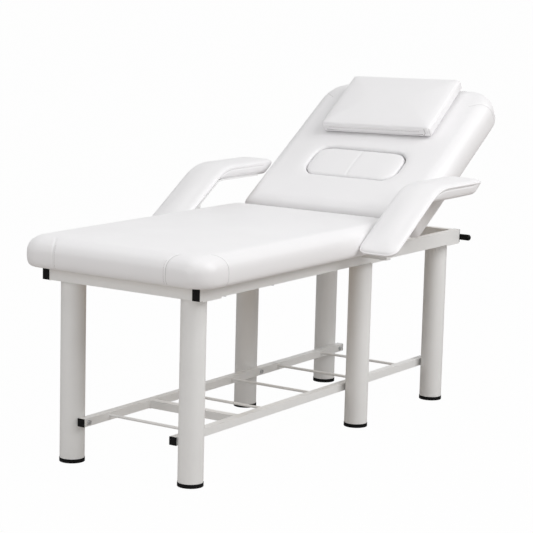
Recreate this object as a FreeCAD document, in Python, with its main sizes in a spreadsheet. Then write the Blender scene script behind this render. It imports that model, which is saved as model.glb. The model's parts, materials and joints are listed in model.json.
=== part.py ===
import FreeCAD, Part
import math
import os
import re
from types import SimpleNamespace

# A beauty bed: a six-legged steel frame with a lower rack, a fixed seat pad, a reclining back
# with a face-hole plug and a loose pillow, and two padded armrests that lift off.
# X runs from the foot end to the head end, Z is up and the floor is at zero.

doc = FreeCAD.newDocument("beauty_bed")

# Driving dimensions in millimetres and degrees. X places are measured from the foot legs.
drive = dict(
    # frame tubes
    rail_width=25, rail_height=45, tube_wall=2, rail_centre=275, rail_top=605,
    rail_foot_end=-62.5, rail_head_end=1490, cap_thickness=3, cap_skirt=12, fit_gap=0.05,
    middle_tube_place=977,
    # legs
    leg_diameter=76, leg_wall=2, leg_middle_place=932, leg_head_place=1444, leg_inset=2.5,
    foot_cap_diameter=78, foot_cap_height=12, foot_cap_floor=5, leg_disc_thickness=5,
    leg_plate_length=90, leg_plate_thickness=4, leg_bolt_diameter=10, leg_bolt_length=26,
    bolt_head_diameter=17, bolt_head_height=6, rack_bolt_head=13,
    # lower rack
    rack_tube=25, rack_top=141, rack_foot_reach=19, rack_head_reach=22,
    rack_cross_place=318, rung_diameter=9, rung_first_place=105, rung_second_place=478,
    rung_pitch=281, rung_axis_drop=10, rung_seat=6, rack_bolt_diameter=8, rack_bolt_length=36,
    # seat pad
    seat_foot_end=-117, seat_head_end=1018, pad_half_width=343, board_thickness=16, board_inset=14,
    seat_foam=72, pad_crown=7, seat_foot_corner=75, seat_head_corner=40,
    pad_top_round=38, pad_bottom_round=12, seat_screw_diameter=6, seat_screw_bite=11,
    seat_screw_head=12, seat_screw_head_height=4,
    # back pad, in the back's own frame with its origin on the hinge axis
    hinge_place=1085, hinge_rise=10, back_angle=34, back_start=12, back_end=724,
    back_underside=-6, back_foam=80, back_low_corner=40, back_top_corner=108,
    back_tube=25, back_tube_start=-12, back_tube_end=365, back_low_cross=64, back_high_cross=346,
    hinge_plate_thickness=5, hinge_plate_radius=10, hinge_plate_foot=45, hinge_gap=2,
    hinge_lug_length=20, hinge_lug_rise=16, hinge_lug_width=10, hinge_pin_diameter=8,
    hinge_pin_head=14, hinge_pin_head_height=4,
    bumper_diameter=20, bumper_place=150, bumper_gap=0.3,
    # face-hole plug and pillow
    plug_start=182, plug_end=330, plug_half_width=178, plug_corner=50, plug_gap=1.5,
    plug_crown=3, plug_top_round=6, plug_bottom_round=2, cleat_length=40, cleat_width=34,
    cleat_thickness=6, cleat_reach=14,
    pillow_start=405, pillow_end=690, pillow_half_width=214, pillow_thickness=44, pillow_crown=9,
    pillow_corner=24, pillow_round=14, pillow_gap=0.3,
    # gas spring under the back
    clevis_drop=22, clevis_plate=4, clevis_space=28, clevis_length=32,
    spring_flat_angle=90, spring_eye_radius=10, spring_eye_width=24, spring_pin_diameter=8,
    spring_pin_head=13, spring_pin_head_height=3, cylinder_diameter=26, cylinder_wall=3,
    cylinder_neck=14, cylinder_neck_diameter=14, cylinder_length=150, rod_diameter=14,
    rod_length=140, piston_gap=0.08,
    lever_plate=4, lever_plate_width=30, side_play=0.3,
    # armrests
    arm_elbow_place=970, arm_slope_run=280, arm_level_run=293, arm_low_rise=16, arm_elbow_rise=185.5,
    arm_gap=4, arm_width=138, arm_pad_thickness=25, arm_board_thickness=11, arm_elbow_radius=190,
    arm_slope_depth=12, arm_under_radius=60, arm_tip_cut=45,
    arm_board_inset=14, arm_crown=16, arm_strip_thickness=5, arm_strip_width=34,
    arm_strip_start=60, arm_strip_end=90, arm_post_back=140, arm_post_inset=24, arm_post=20,
    arm_post_gap=0.3, arm_socket_wall=3, arm_socket_height=85, arm_bar_height=14,
    # back release lever
    lever_pivot=100, lever_thickness=6, lever_depth=14, lever_inner_end=42,
    lever_offset=14.5, grip_diameter=21, grip_end=323, grip_start=220, grip_wall=5,
    lever_post_diameter=12, lever_pin_diameter=6, lever_pin_head=11, lever_pin_head_height=3,
    overrun=20,
)
sheet = doc.addObject("Spreadsheet::Sheet", "sizes")
for row, (alias, value) in enumerate(drive.items(), start=1):
    sheet.set(f"A{row}", alias)
    sheet.set(f"B{row}", str(value))
    sheet.setAlias(f"B{row}", alias)
doc.recompute()
s = SimpleNamespace(**{alias: float(sheet.get(alias)) for alias in drive})

# Levels and faces that several pieces share.
railOuter = s.rail_centre + s.rail_width / 2
railInner = s.rail_centre - s.rail_width / 2
railBottom = s.rail_top - s.rail_height
legTop = railBottom - s.leg_plate_thickness
legRadius = s.leg_diameter / 2
legCentre = railInner - s.leg_inset - legRadius
hingeLevel = s.rail_top + s.hinge_rise
backTop = s.back_underside + s.board_thickness + s.back_foam
hingePlateInner = railInner - s.hinge_plate_thickness
backTubeCentre = hingePlateInner - s.hinge_gap - s.back_tube / 2
backTubeTop = s.back_underside
backTubeBottom = backTubeTop - s.back_tube
angle = math.radians(s.back_angle)
rimCentre = (s.back_end - s.pad_bottom_round, s.back_underside + s.pad_bottom_round)
backReach = (s.hinge_place + rimCentre[0] * math.cos(angle) - rimCentre[1] * math.sin(angle)
             + s.pad_bottom_round)
originPlace = (s.seat_foot_end + backReach) / 2

along = FreeCAD.Vector(1, 0, 0)
across = FreeCAD.Vector(0, 1, 0)
upward = FreeCAD.Vector(0, 0, 1)
bedFrame = FreeCAD.Placement(FreeCAD.Vector(-originPlace, 0, 0), FreeCAD.Rotation())
hingePoint = FreeCAD.Vector(s.hinge_place - originPlace, 0, hingeLevel)
backFrame = FreeCAD.Placement(hingePoint, FreeCAD.Rotation(across, -s.back_angle))

subParts = []


def bind(obj, prop, words):
    # Ties a property to the sheet: every word of the expression is one of its aliases.
    obj.setExpression(prop, re.sub(r"[a-z_]+", lambda found: "sizes." + found.group(), words))


def put(obj, at, frame, turn=FreeCAD.Rotation()):
    obj.Placement = frame.multiply(FreeCAD.Placement(FreeCAD.Vector(*at), turn))
    return obj


def box(length, width, height, at, frame=bedFrame):
    # A block with its lowest corner at the given point.
    obj = doc.addObject("Part::Box", "block")
    bind(obj, "Length", length)
    bind(obj, "Width", width)
    bind(obj, "Height", height)
    return put(obj, at, frame)


def cylinder(diameter, length, at, axis=upward, frame=bedFrame):
    # A round bar that starts at the given point and runs along the axis.
    obj = doc.addObject("Part::Cylinder", "round")
    bind(obj, "Radius", f"({diameter}) / 2")
    bind(obj, "Height", length)
    return put(obj, at, frame, FreeCAD.Rotation(upward, axis))


def joined(pieces):
    obj = doc.addObject("Part::MultiFuse", "joined")
    obj.Shapes = pieces
    return obj


def together(pieces):
    obj = doc.addObject("Part::Compound", "set")
    obj.Links = pieces
    return obj


def cut(body, tools):
    obj = doc.addObject("Part::Cut", "cut")
    obj.Base = body
    obj.Tool = tools[0] if len(tools) == 1 else together(tools)
    return obj


def shaped(shape, frame=bedFrame):
    # A formed solid, drawn in the frame's own coordinates.
    obj = doc.addObject("Part::Feature", "formed")
    obj.Shape = shape
    obj.Placement = frame
    return obj


def keep(name, obj):
    obj.Label = name
    subParts.append(obj)
    return obj


def hollow(length, width, height, at, axis, frame=bedFrame):
    # A rectangular tube, open at the two ends along its axis.
    outer = box(length, width, height, at, frame)
    sizes = [length, width, height]
    start = list(at)
    for side in range(3):
        if side == axis:
            sizes[side] = f"{sizes[side]} + 2 * overrun"
            start[side] -= s.overrun
        else:
            sizes[side] = f"{sizes[side]} - 2 * tube_wall"
            start[side] += s.tube_wall
    return outer, box(*sizes, start, frame)


def outline(start, end, half, startRadius, endRadius, level=0):
    # A rounded rectangle in plan, with one corner radius at each end.
    def corner(x, y, radius, turn):
        middle = math.radians(turn + 45)
        first = math.radians(turn)
        last = math.radians(turn + 90)
        return [FreeCAD.Vector(x + radius * math.cos(a), y + radius * math.sin(a), level)
                for a in (first, middle, last)]
    corners = [
        corner(end - endRadius, half - endRadius, endRadius, 0),
        corner(start + startRadius, half - startRadius, startRadius, 90),
        corner(start + startRadius, startRadius - half, startRadius, 180),
        corner(end - endRadius, endRadius - half, endRadius, 270),
    ]
    edges = []
    for index, points in enumerate(corners):
        edges.append(Part.Arc(*points).toShape())
        edges.append(Part.LineSegment(points[2], corners[(index + 1) % len(corners)][0]).toShape())
    return Part.Face(Part.Wire(edges))


rimShare = 0.9


def crowned(face, base, thickness, half, crown, topRound, bottomRound):
    # A cushion: an upright slab whose top is one shallow arc across, with its rims rounded over.
    slab = face.extrude(upward * (thickness + crown))
    arcRadius = (half ** 2 + crown ** 2) / (2 * crown)
    span = slab.BoundBox
    axisStart = FreeCAD.Vector(span.XMin - s.overrun, 0, base + thickness + crown - arcRadius)
    dome = Part.makeCylinder(arcRadius, span.XLength + 2 * s.overrun, axisStart, along)
    pad = slab.common(dome).Solids[0]
    upper = [e for e in pad.Edges if e.BoundBox.ZMin > base + thickness * rimShare]
    pad = pad.makeFillet(topRound, upper)
    lower = [e for e in pad.Edges if e.BoundBox.ZMax < base + s.fit_gap]
    return pad.makeFillet(bottomRound, lower)


def bothSides(make):
    # The left piece, on the side of minus Y, and its mirror on the right.
    return [make(-1), make(1)]


def sideStart(sign, near, far):
    # The lower Y of a span that lies between two distances from the middle on one side.
    return near if sign > 0 else -far


legPlaces = dict(foot=0, middle=s.leg_middle_place, head=s.leg_head_place)
legSpots = [(place, sign * legCentre) for place in legPlaces.values() for sign in (-1, 1)]
sideNames = {-1: "left", 1: "right"}

# Frame: two side rails, three cross tubes and the caps in the open rail ends.
railLength = "(rail_head_end - rail_foot_end)"
seatScrewShares = (0.17, 0.39, 0.62, 0.84)
seatScrewPlaces = [s.seat_foot_end + (s.seat_head_end - s.seat_foot_end) * share
                   for share in seatScrewShares]
for sign, side in sideNames.items():
    start = (s.rail_foot_end, sideStart(sign, railInner, railOuter), railBottom)
    outer, bore = hollow(railLength, "rail_width", "rail_height", start, 0)
    holes = [cylinder("seat_screw_diameter + 2 * fit_gap", "rail_height + 2 * overrun",
                      (place, sign * s.rail_centre, railBottom - s.overrun)) for place in seatScrewPlaces]
    keep(f"rail_{side}", cut(outer, [joined([bore] + holes)]))

crossPlaces = dict(foot=s.rail_foot_end, middle=s.middle_tube_place - s.rail_width / 2,
                   head=s.rail_head_end - s.rail_width)
for name, place in crossPlaces.items():
    outer, bore = hollow("rail_width", "2 * rail_centre - rail_width", "rail_height",
                         (place, -railInner, railBottom), 1)
    keep(f"{name}_cross_tube", cut(outer, [bore]))


def endCap(width, height, low, bottom, end, inward):
    # A plastic cap with a flange over a tube's end and a skirt inside it.
    flangeStart = end if inward < 0 else end - s.cap_thickness
    skirtStart = end - s.cap_skirt if inward < 0 else end
    flange = box("cap_thickness", width, height, (flangeStart, low, bottom))
    clear = s.tube_wall + s.fit_gap
    skirt = box("cap_skirt", f"{width} - 2 * (tube_wall + fit_gap)", f"{height} - 2 * (tube_wall + fit_gap)",
                (skirtStart, low + clear, bottom + clear))
    return joined([flange, skirt])


railEnds = ((s.rail_foot_end, 1), (s.rail_head_end, -1))
keep("rail_end_caps", together([endCap("rail_width", "rail_height", sideStart(sign, railInner, railOuter),
                                       railBottom, end, inward)
                                for sign in sideNames for end, inward in railEnds]))

# Legs: a welded plate under the frame, a round tube with a disc in its top, a bolt and a foot cap.
plateInner = legCentre - s.leg_plate_length / 2


def legPlate(x, y):
    sign = 1 if y > 0 else -1
    plate = box("leg_plate_length", "rail_width + leg_inset + leg_diameter / 2 + leg_plate_length / 2",
                "leg_plate_thickness",
                (x - s.leg_plate_length / 2, sideStart(sign, plateInner, railOuter), legTop))
    hole = cylinder("leg_bolt_diameter + 2 * fit_gap", "leg_plate_thickness + 2 * overrun",
                    (x, y, legTop - s.overrun))
    return cut(plate, [hole])


def legDisc(x, y):
    disc = cylinder("leg_diameter - 2 * leg_wall - 2 * fit_gap", "leg_disc_thickness",
                    (x, y, legTop - s.leg_disc_thickness))
    hole = cylinder("leg_bolt_diameter + 2 * fit_gap", "leg_disc_thickness + 2 * overrun",
                    (x, y, legTop - s.leg_disc_thickness - s.overrun))
    return cut(disc, [hole])


def legBolt(x, y):
    shank = cylinder("leg_bolt_diameter", "leg_bolt_length", (x, y, railBottom - s.leg_bolt_length))
    head = cylinder("bolt_head_diameter", "bolt_head_height", (x, y, railBottom))
    return joined([shank, head])


def footCap(x, y):
    cup = cylinder("foot_cap_diameter", "foot_cap_height", (x, y, 0))
    seat = cylinder("leg_diameter + 2 * fit_gap", "foot_cap_height", (x, y, s.foot_cap_floor))
    return cut(cup, [seat])


keep("leg_plates", together([legPlate(x, y) for x, y in legSpots]))
rackBoltLevel = s.rack_top - s.rack_tube / 2
for name, x in legPlaces.items():
    for sign, side in sideNames.items():
        y = sign * legCentre
        tube = cylinder("leg_diameter", "rail_top - rail_height - leg_plate_thickness - foot_cap_floor",
                        (x, y, s.foot_cap_floor))
        bore = cylinder("leg_diameter - 2 * leg_wall", "rail_top + 2 * overrun", (x, y, -s.overrun))
        boltHole = cylinder("rack_bolt_diameter + 2 * fit_gap", "leg_diameter",
                            (x, y, rackBoltLevel), across * -sign)
        keep(f"leg_{name}_{side}", cut(tube, [joined([bore, boltHole])]))
keep("leg_top_discs", together([legDisc(x, y) for x, y in legSpots]))
keep("leg_bolts", together([legBolt(x, y) for x, y in legSpots]))
keep("foot_caps", together([footCap(x, y) for x, y in legSpots]))

# Lower rack: two side bars bolted to the legs' inner faces, one cross tube and round rungs.
rackOuter = legCentre - legRadius
rackInner = rackOuter - s.rack_tube
rackBottom = s.rack_top - s.rack_tube
rackStart = -s.rack_foot_reach
rackEnd = s.leg_head_place + s.rack_head_reach
rackLength = "(leg_head_place + rack_head_reach + rack_foot_reach)"
rungPlaces = [s.rung_first_place] + [s.rung_second_place + s.rung_pitch * step for step in range(4)]
rungLevel = s.rack_top - s.rung_axis_drop
rackCrossSpan = "2 * (rail_centre - rail_width / 2 - leg_inset - leg_diameter - rack_tube)"
rungReach = "2 * (rail_centre - rail_width / 2 - leg_inset - leg_diameter - rack_tube + rung_seat)"
for sign, side in sideNames.items():
    start = (rackStart, sideStart(sign, rackInner, rackOuter), rackBottom)
    outer, bore = hollow(rackLength, "rack_tube", "rack_tube", start, 0)
    boltHoles = [cylinder("rack_bolt_diameter + 2 * fit_gap", "rack_tube + 2 * overrun",
                          (x, start[1] - s.overrun, rackBoltLevel), across) for x in legPlaces.values()]
    rungHoles = [cylinder("rung_diameter + 2 * fit_gap", "rack_tube",
                          (x, sign * rackInner - s.rack_tube / 2, rungLevel), across) for x in rungPlaces]
    keep(f"rack_bar_{side}", cut(outer, [joined([bore] + boltHoles + rungHoles)]))

outer, bore = hollow("rack_tube", rackCrossSpan, "rack_tube",
                     (s.rack_cross_place - s.rack_tube / 2, -rackInner, rackBottom), 1)
keep("rack_cross_tube", cut(outer, [bore]))
rungStart = -rackInner - s.rung_seat
keep("rack_rungs", together([cylinder("rung_diameter", rungReach, (x, rungStart, rungLevel), across)
                             for x in rungPlaces]))


rackEnds = ((rackStart, 1), (rackEnd, -1))
keep("rack_end_caps", together([endCap("rack_tube", "rack_tube", sideStart(sign, rackInner, rackOuter),
                                       rackBottom, end, inward)
                                for sign in sideNames for end, inward in rackEnds]))


def rackBolt(x, y):
    # The head bears on the bar's inner face and the shank passes through the bar into the leg.
    sign = 1 if y > 0 else -1
    face = sign * rackInner
    head = cylinder("rack_bolt_head", "bolt_head_height", (x, face, rackBoltLevel), across * -sign)
    shank = cylinder("rack_bolt_diameter", "rack_bolt_length", (x, face, rackBoltLevel), across * sign)
    return joined([head, shank])


keep("rack_bolts", together([rackBolt(x, y) for x, y in legSpots]))

# Seat: a plywood board on the rails, a cushion that wraps its edge, and screws up through the rails.
padThickness = s.board_thickness + s.seat_foam
boardHalf = s.pad_half_width - s.board_inset
seatBoardFace = outline(s.seat_foot_end + s.board_inset, s.seat_head_end - s.board_inset, boardHalf,
                        s.seat_foot_corner - s.board_inset, s.seat_head_corner - s.board_inset, s.rail_top)
seatBoard = shaped(seatBoardFace.extrude(upward * s.board_thickness))
screwHoles = [cylinder("seat_screw_diameter + 2 * fit_gap", "seat_screw_bite + overrun",
                       (x, sign * s.rail_centre, s.rail_top - s.overrun))
              for x in seatScrewPlaces for sign in sideNames]
keep("seat_board", cut(seatBoard, screwHoles))
seatFace = outline(s.seat_foot_end, s.seat_head_end, s.pad_half_width,
                   s.seat_foot_corner, s.seat_head_corner, s.rail_top)
seatPad = crowned(seatFace, s.rail_top, padThickness, s.pad_half_width, s.pad_crown,
                  s.pad_top_round, s.pad_bottom_round)
keep("seat_cushion", shaped(seatPad.cut(seatBoardFace.extrude(upward * s.board_thickness))))


def seatScrew(x, y):
    head = cylinder("seat_screw_head", "seat_screw_head_height",
                    (x, y, railBottom - s.seat_screw_head_height))
    shank = cylinder("seat_screw_diameter", "rail_height + seat_screw_bite", (x, y, railBottom))
    return joined([head, shank])


keep("seat_screws", together([seatScrew(x, sign * s.rail_centre)
                              for x in seatScrewPlaces for sign in sideNames]))

# Hinge: a plate on each rail's inner face with a round top, and a pin through it into the back's lug.
hingeDrop = s.hinge_rise + s.hinge_plate_foot


def hingePlate(sign):
    low = sideStart(sign, hingePlateInner, railInner)
    foot = box("2 * hinge_plate_radius", "hinge_plate_thickness",
               "hinge_rise + hinge_plate_foot",
               (s.hinge_place - s.hinge_plate_radius, low, hingeLevel - hingeDrop))
    eye = cylinder("2 * hinge_plate_radius", "hinge_plate_thickness",
                   (s.hinge_place, low, hingeLevel), across)
    hole = cylinder("hinge_pin_diameter + 2 * fit_gap", "hinge_plate_thickness + 2 * overrun",
                    (s.hinge_place, low - s.overrun, hingeLevel), across)
    return cut(joined([foot, eye]), [hole])


keep("hinge_plates", together(bothSides(hingePlate)))
lugOuter = hingePlateInner - s.hinge_gap


def hingePin(sign):
    # The head sits over the rail, outside the plate, and the shank ends flush with the lug.
    head = cylinder("hinge_pin_head", "hinge_pin_head_height",
                    (s.hinge_place, sign * railInner, hingeLevel), across * sign)
    shank = cylinder("hinge_pin_diameter", "hinge_plate_thickness + hinge_gap + hinge_lug_width",
                     (s.hinge_place, sign * railInner, hingeLevel), across * -sign)
    return joined([head, shank])


keep("hinge_pins", together(bothSides(hingePin)))

# Bumpers on the head cross tube that the flat back comes down on.
bumperSpots = [(s.rail_head_end - s.rail_width / 2, sign * s.bumper_place) for sign in sideNames]
keep("back_bumpers", together([cylinder("bumper_diameter",
                                        "hinge_rise + back_underside - bumper_gap",
                                        (x, y, s.rail_top)) for x, y in bumperSpots]))

# Gas spring: its fixed pivot hangs under the middle cross tube and its other pivot is on the back.
fixedPivot = (s.middle_tube_place - s.hinge_place, railBottom - s.clevis_drop - hingeLevel)
pivotReach = math.hypot(*fixedPivot)
movingTurn = math.atan2(fixedPivot[1], fixedPivot[0]) + math.radians(s.spring_flat_angle)
movingPivot = (pivotReach * math.cos(movingTurn), pivotReach * math.sin(movingTurn))
fixedLevel = railBottom - s.clevis_drop


def clevisPlate(sign):
    low = sideStart(sign, s.clevis_space / 2, s.clevis_space / 2 + s.clevis_plate)
    cheek = box("clevis_length", "clevis_plate", "clevis_drop",
                (s.middle_tube_place - s.clevis_length / 2, low, fixedLevel))
    eye = cylinder("clevis_length", "clevis_plate", (s.middle_tube_place, low, fixedLevel), across)
    return joined([cheek, eye])


clevisHalf = s.clevis_space / 2 + s.clevis_plate
clevisHole = cylinder("spring_pin_diameter + 2 * fit_gap", "clevis_space + 2 * clevis_plate + 2 * overrun",
                      (s.middle_tube_place, -clevisHalf - s.overrun, fixedLevel), across)
keep("spring_clevis", cut(together(bothSides(clevisPlate)), [clevisHole]))


def crossPin(x, z, halfSpan, spanWords, frame):
    # A headed pin across the bed that reaches just past both cheeks.
    head = cylinder("spring_pin_head", "spring_pin_head_height",
                    (x, -halfSpan - s.spring_pin_head_height, z), across, frame)
    shank = cylinder("spring_pin_diameter", spanWords, (x, -halfSpan, z), across, frame)
    return joined([head, shank])


keep("clevis_pin", crossPin(s.middle_tube_place, fixedLevel, clevisHalf,
                            "clevis_space + 2 * clevis_plate", bedFrame))

# The spring at the photographed angle: its line runs from the fixed pivot to the moving one.
restTurn = movingTurn + angle
movingRest = (s.hinge_place + pivotReach * math.cos(restTurn),
              hingeLevel + pivotReach * math.sin(restTurn))
fixedRest = (s.middle_tube_place, fixedLevel)
springSlope = math.degrees(math.atan2(movingRest[1] - fixedRest[1], movingRest[0] - fixedRest[0]))
cylinderFrame = bedFrame.multiply(FreeCAD.Placement(FreeCAD.Vector(fixedRest[0], 0, fixedRest[1]),
                                                    FreeCAD.Rotation(across, -springSlope)))
rodFrame = bedFrame.multiply(FreeCAD.Placement(FreeCAD.Vector(movingRest[0], 0, movingRest[1]),
                                               FreeCAD.Rotation(across, -springSlope)))


def springEye(frame):
    eye = cylinder("2 * spring_eye_radius", "spring_eye_width",
                   (0, -s.spring_eye_width / 2, 0), across, frame)
    hole = cylinder("spring_pin_diameter + 2 * piston_gap", "spring_eye_width + 2 * overrun",
                    (0, -s.spring_eye_width / 2 - s.overrun, 0), across, frame)
    return eye, hole


eye, eyeHole = springEye(cylinderFrame)
barrel = cylinder("cylinder_diameter", "cylinder_length - cylinder_neck",
                  (s.cylinder_neck, 0, 0), along, cylinderFrame)
neck = cylinder("cylinder_neck_diameter", "cylinder_neck", (0, 0, 0), along, cylinderFrame)
bore = cylinder("rod_diameter + 2 * piston_gap", "cylinder_length",
                (s.cylinder_neck + s.cylinder_wall, 0, 0), along, cylinderFrame)
keep("gas_cylinder", cut(joined([eye, neck, barrel]), [eyeHole, bore]))
eye, eyeHole = springEye(rodFrame)
stem = cylinder("rod_diameter", "rod_length", (-s.rod_length, 0, 0), along, rodFrame)
keep("gas_rod", cut(joined([eye, stem]), [eyeHole]))

# Back frame: two tubes, two cross tubes, hinge lugs and the plates that carry the spring's pivot.
backScrewShares = (0.3, 0.8)
backScrewPlaces = [s.back_tube_end * share for share in backScrewShares]
for sign, side in sideNames.items():
    low = sideStart(sign, backTubeCentre - s.back_tube / 2, backTubeCentre + s.back_tube / 2)
    outer, bore = hollow("back_tube_end - back_tube_start", "back_tube", "back_tube",
                         (s.back_tube_start, low, backTubeBottom), 0, backFrame)
    holes = [cylinder("seat_screw_diameter + 2 * fit_gap", "back_tube + 2 * overrun",
                      (x, sign * backTubeCentre, backTubeBottom - s.overrun), upward, backFrame)
             for x in backScrewPlaces]
    keep(f"back_tube_{side}", cut(outer, [joined([bore] + holes)]))
backInner = backTubeCentre - s.back_tube / 2
crossSpan = "2 * (rail_centre - rail_width / 2 - hinge_plate_thickness - hinge_gap - back_tube)"
for name, place in dict(lower=s.back_low_cross, upper=s.back_high_cross).items():
    outer, bore = hollow("back_tube", crossSpan, "back_tube",
                         (place, -backInner, backTubeBottom), 1, backFrame)
    keep(f"back_cross_tube_{name}", cut(outer, [bore]))


def hingeLug(sign):
    low = sideStart(sign, lugOuter - s.hinge_lug_width, lugOuter)
    block = box("hinge_lug_length", "hinge_lug_width", "hinge_lug_rise",
                (s.back_tube_start, low, backTubeTop), backFrame)
    hole = cylinder("hinge_pin_diameter + 2 * fit_gap", "hinge_lug_width + 2 * overrun",
                    (0, low - s.overrun, 0), across, backFrame)
    return cut(block, [hole])


keep("hinge_lugs", together(bothSides(hingeLug)))


def leverPlate(sign):
    # Hangs from the lower cross tube and carries the spring's moving pivot.
    low = sideStart(sign, s.clevis_space / 2, s.clevis_space / 2 + s.lever_plate)
    corner = FreeCAD.Vector(movingPivot[0] - s.lever_plate_width / 2, low, movingPivot[1])
    cheek = shaped(Part.makeBox(s.lever_plate_width, s.lever_plate, backTubeBottom - movingPivot[1], corner),
                   backFrame)
    eye = cylinder("lever_plate_width", "lever_plate",
                   (movingPivot[0], low, movingPivot[1]), across, backFrame)
    return joined([cheek, eye])


leverHole = cylinder("spring_pin_diameter + 2 * fit_gap", "clevis_space + 2 * lever_plate + 2 * overrun",
                     (movingPivot[0], -s.clevis_space / 2 - s.lever_plate - s.overrun, movingPivot[1]),
                     across, backFrame)
keep("lever_plates", cut(together(bothSides(leverPlate)), [leverHole]))
leverHalf = s.clevis_space / 2 + s.lever_plate
keep("lever_pin", crossPin(movingPivot[0], movingPivot[1], leverHalf,
                           "clevis_space + 2 * lever_plate", backFrame))

# Back pad: a plywood board and its cushion, both open at the face hole, and the frame's screws.
backBoardTop = s.back_underside + s.board_thickness
holeFace = outline(s.plug_start, s.plug_end, s.plug_half_width,
                   s.plug_corner, s.plug_corner, s.back_underside)
hole = holeFace.extrude(upward * (s.board_thickness + s.back_foam + s.pad_crown + s.overrun))
backBoardFace = outline(s.back_start + s.board_inset, s.back_end - s.board_inset, boardHalf,
                        s.back_low_corner - s.board_inset, s.back_top_corner - s.board_inset,
                        s.back_underside)
backScrewSpots = [(place, sign * backTubeCentre) for place in backScrewPlaces for sign in sideNames]
boardHoles = [cylinder("seat_screw_diameter + 2 * fit_gap", "seat_screw_bite + overrun",
                       (x, y, s.back_underside - s.overrun), upward, backFrame) for x, y in backScrewSpots]
backBoard = shaped(backBoardFace.extrude(upward * s.board_thickness).cut(hole), backFrame)
keep("back_board", cut(backBoard, boardHoles))


def backScrew(x, y):
    head = cylinder("seat_screw_head", "seat_screw_head_height",
                    (x, y, backTubeBottom - s.seat_screw_head_height), upward, backFrame)
    shank = cylinder("seat_screw_diameter", "back_tube + seat_screw_bite",
                     (x, y, backTubeBottom), upward, backFrame)
    return joined([head, shank])


keep("back_screws", together([backScrew(x, y) for x, y in backScrewSpots]))
backFace = outline(s.back_start, s.back_end, s.pad_half_width,
                   s.back_low_corner, s.back_top_corner, s.back_underside)
backPad = crowned(backFace, s.back_underside, s.board_thickness + s.back_foam, s.pad_half_width,
                  s.pad_crown, s.pad_top_round, s.pad_bottom_round)
backRecess = backBoardFace.extrude(upward * s.board_thickness)
keep("back_cushion", shaped(backPad.cut(hole).cut(backRecess), backFrame))


cleatShares = (0.25, 0.75)


def cleat(sign, place):
    # A strip under the board whose tongue carries the plug's edge.
    tongue = s.plug_half_width - s.cleat_reach
    return box("cleat_length", "cleat_width", "cleat_thickness",
               (place - s.cleat_length / 2, sideStart(sign, tongue, tongue + s.cleat_width),
                s.back_underside - s.cleat_thickness), backFrame)


# Plug for the face hole: a board and a cushion with the hole's outline.
plugFace = outline(s.plug_start + s.plug_gap, s.plug_end - s.plug_gap, s.plug_half_width - s.plug_gap,
                   s.plug_corner - s.plug_gap, s.plug_corner - s.plug_gap, s.back_underside)
keep("plug_board", shaped(plugFace.extrude(upward * s.board_thickness), backFrame))
plugTopFace = outline(s.plug_start + s.plug_gap, s.plug_end - s.plug_gap, s.plug_half_width - s.plug_gap,
                      s.plug_corner - s.plug_gap, s.plug_corner - s.plug_gap, backBoardTop)
keep("plug_cushion", shaped(crowned(plugTopFace, backBoardTop, s.back_foam + s.pad_crown - s.plug_crown,
                                    s.plug_half_width - s.plug_gap, s.plug_crown,
                                    s.plug_top_round, s.plug_bottom_round), backFrame))
cleatPlaces = [s.plug_start + (s.plug_end - s.plug_start) * share for share in cleatShares]
keep("plug_cleats", together([cleat(sign, place) for sign in sideNames for place in cleatPlaces]))

# Pillow: a box cushion that lies loose on the back.
pillowBase = backTop + s.pad_crown + s.pillow_gap
pillowFace = outline(s.pillow_start, s.pillow_end, s.pillow_half_width,
                     s.pillow_corner, s.pillow_corner, pillowBase)
keep("pillow", shaped(crowned(pillowFace, pillowBase, s.pillow_thickness, s.pillow_half_width, s.pillow_crown,
                              s.pillow_round, s.pillow_round), backFrame))

# Armrests: a sloped leg, a round elbow and a level top, on a strip and a post that drops in a socket.
armCornerShare = 0.25
armRoundShare = 0.16
socketBaseShare = 0.55
armInner = s.pad_half_width + s.arm_gap
armOuter = armInner + s.arm_width
armCorner = armCornerShare * s.arm_width
armRound = armRoundShare * s.arm_width
armElbowLevel = s.rail_top + s.arm_low_rise + s.arm_elbow_rise
armPostPlace = s.arm_elbow_place - s.arm_post_back
socketBase = railBottom + socketBaseShare * s.rail_height
armSlope = math.atan2(s.arm_elbow_rise, s.arm_slope_run)
armPostSide = armInner + s.arm_post_inset
armDepth = s.arm_pad_thickness + s.arm_board_thickness


def armOver(height):
    # A line of the armrest over its top: the drops of slope and level run, and the elbow's radius.
    return -height, -height, s.arm_elbow_radius + height


def armUnder(depth):
    # The same for a line under the armrest's board, which is shallow on the slope.
    return s.arm_slope_depth + depth, armDepth + depth, s.arm_under_radius - depth


def armSide(line, startInset, endInset):
    # One line of the armrest seen from the side: slope, arc and level run.
    slopeDrop, levelDrop, radius = line
    rise = FreeCAD.Vector(math.cos(armSlope), 0, math.sin(armSlope))
    normal = FreeCAD.Vector(-math.sin(armSlope), 0, math.cos(armSlope))
    elbow = FreeCAD.Vector(s.arm_elbow_place, 0, armElbowLevel)
    low = elbow - along * s.arm_slope_run - upward * s.arm_elbow_rise
    tip = elbow + along * s.arm_level_run
    reach = (slopeDrop * math.cos(armSlope) - levelDrop) / math.sin(armSlope)
    corner = elbow - normal * slopeDrop + rise * reach
    half = armSlope / 2
    first = low + rise * startInset - normal * slopeDrop
    bendStart = corner - rise * (radius * math.tan(half))
    bendEnd = corner + along * (radius * math.tan(half))
    bendMiddle = bendEnd - upward * radius + FreeCAD.Vector(-math.sin(half), 0, math.cos(half)) * radius
    last = tip - along * endInset - upward * levelDrop
    return first, bendStart, bendMiddle, bendEnd, last


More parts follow.
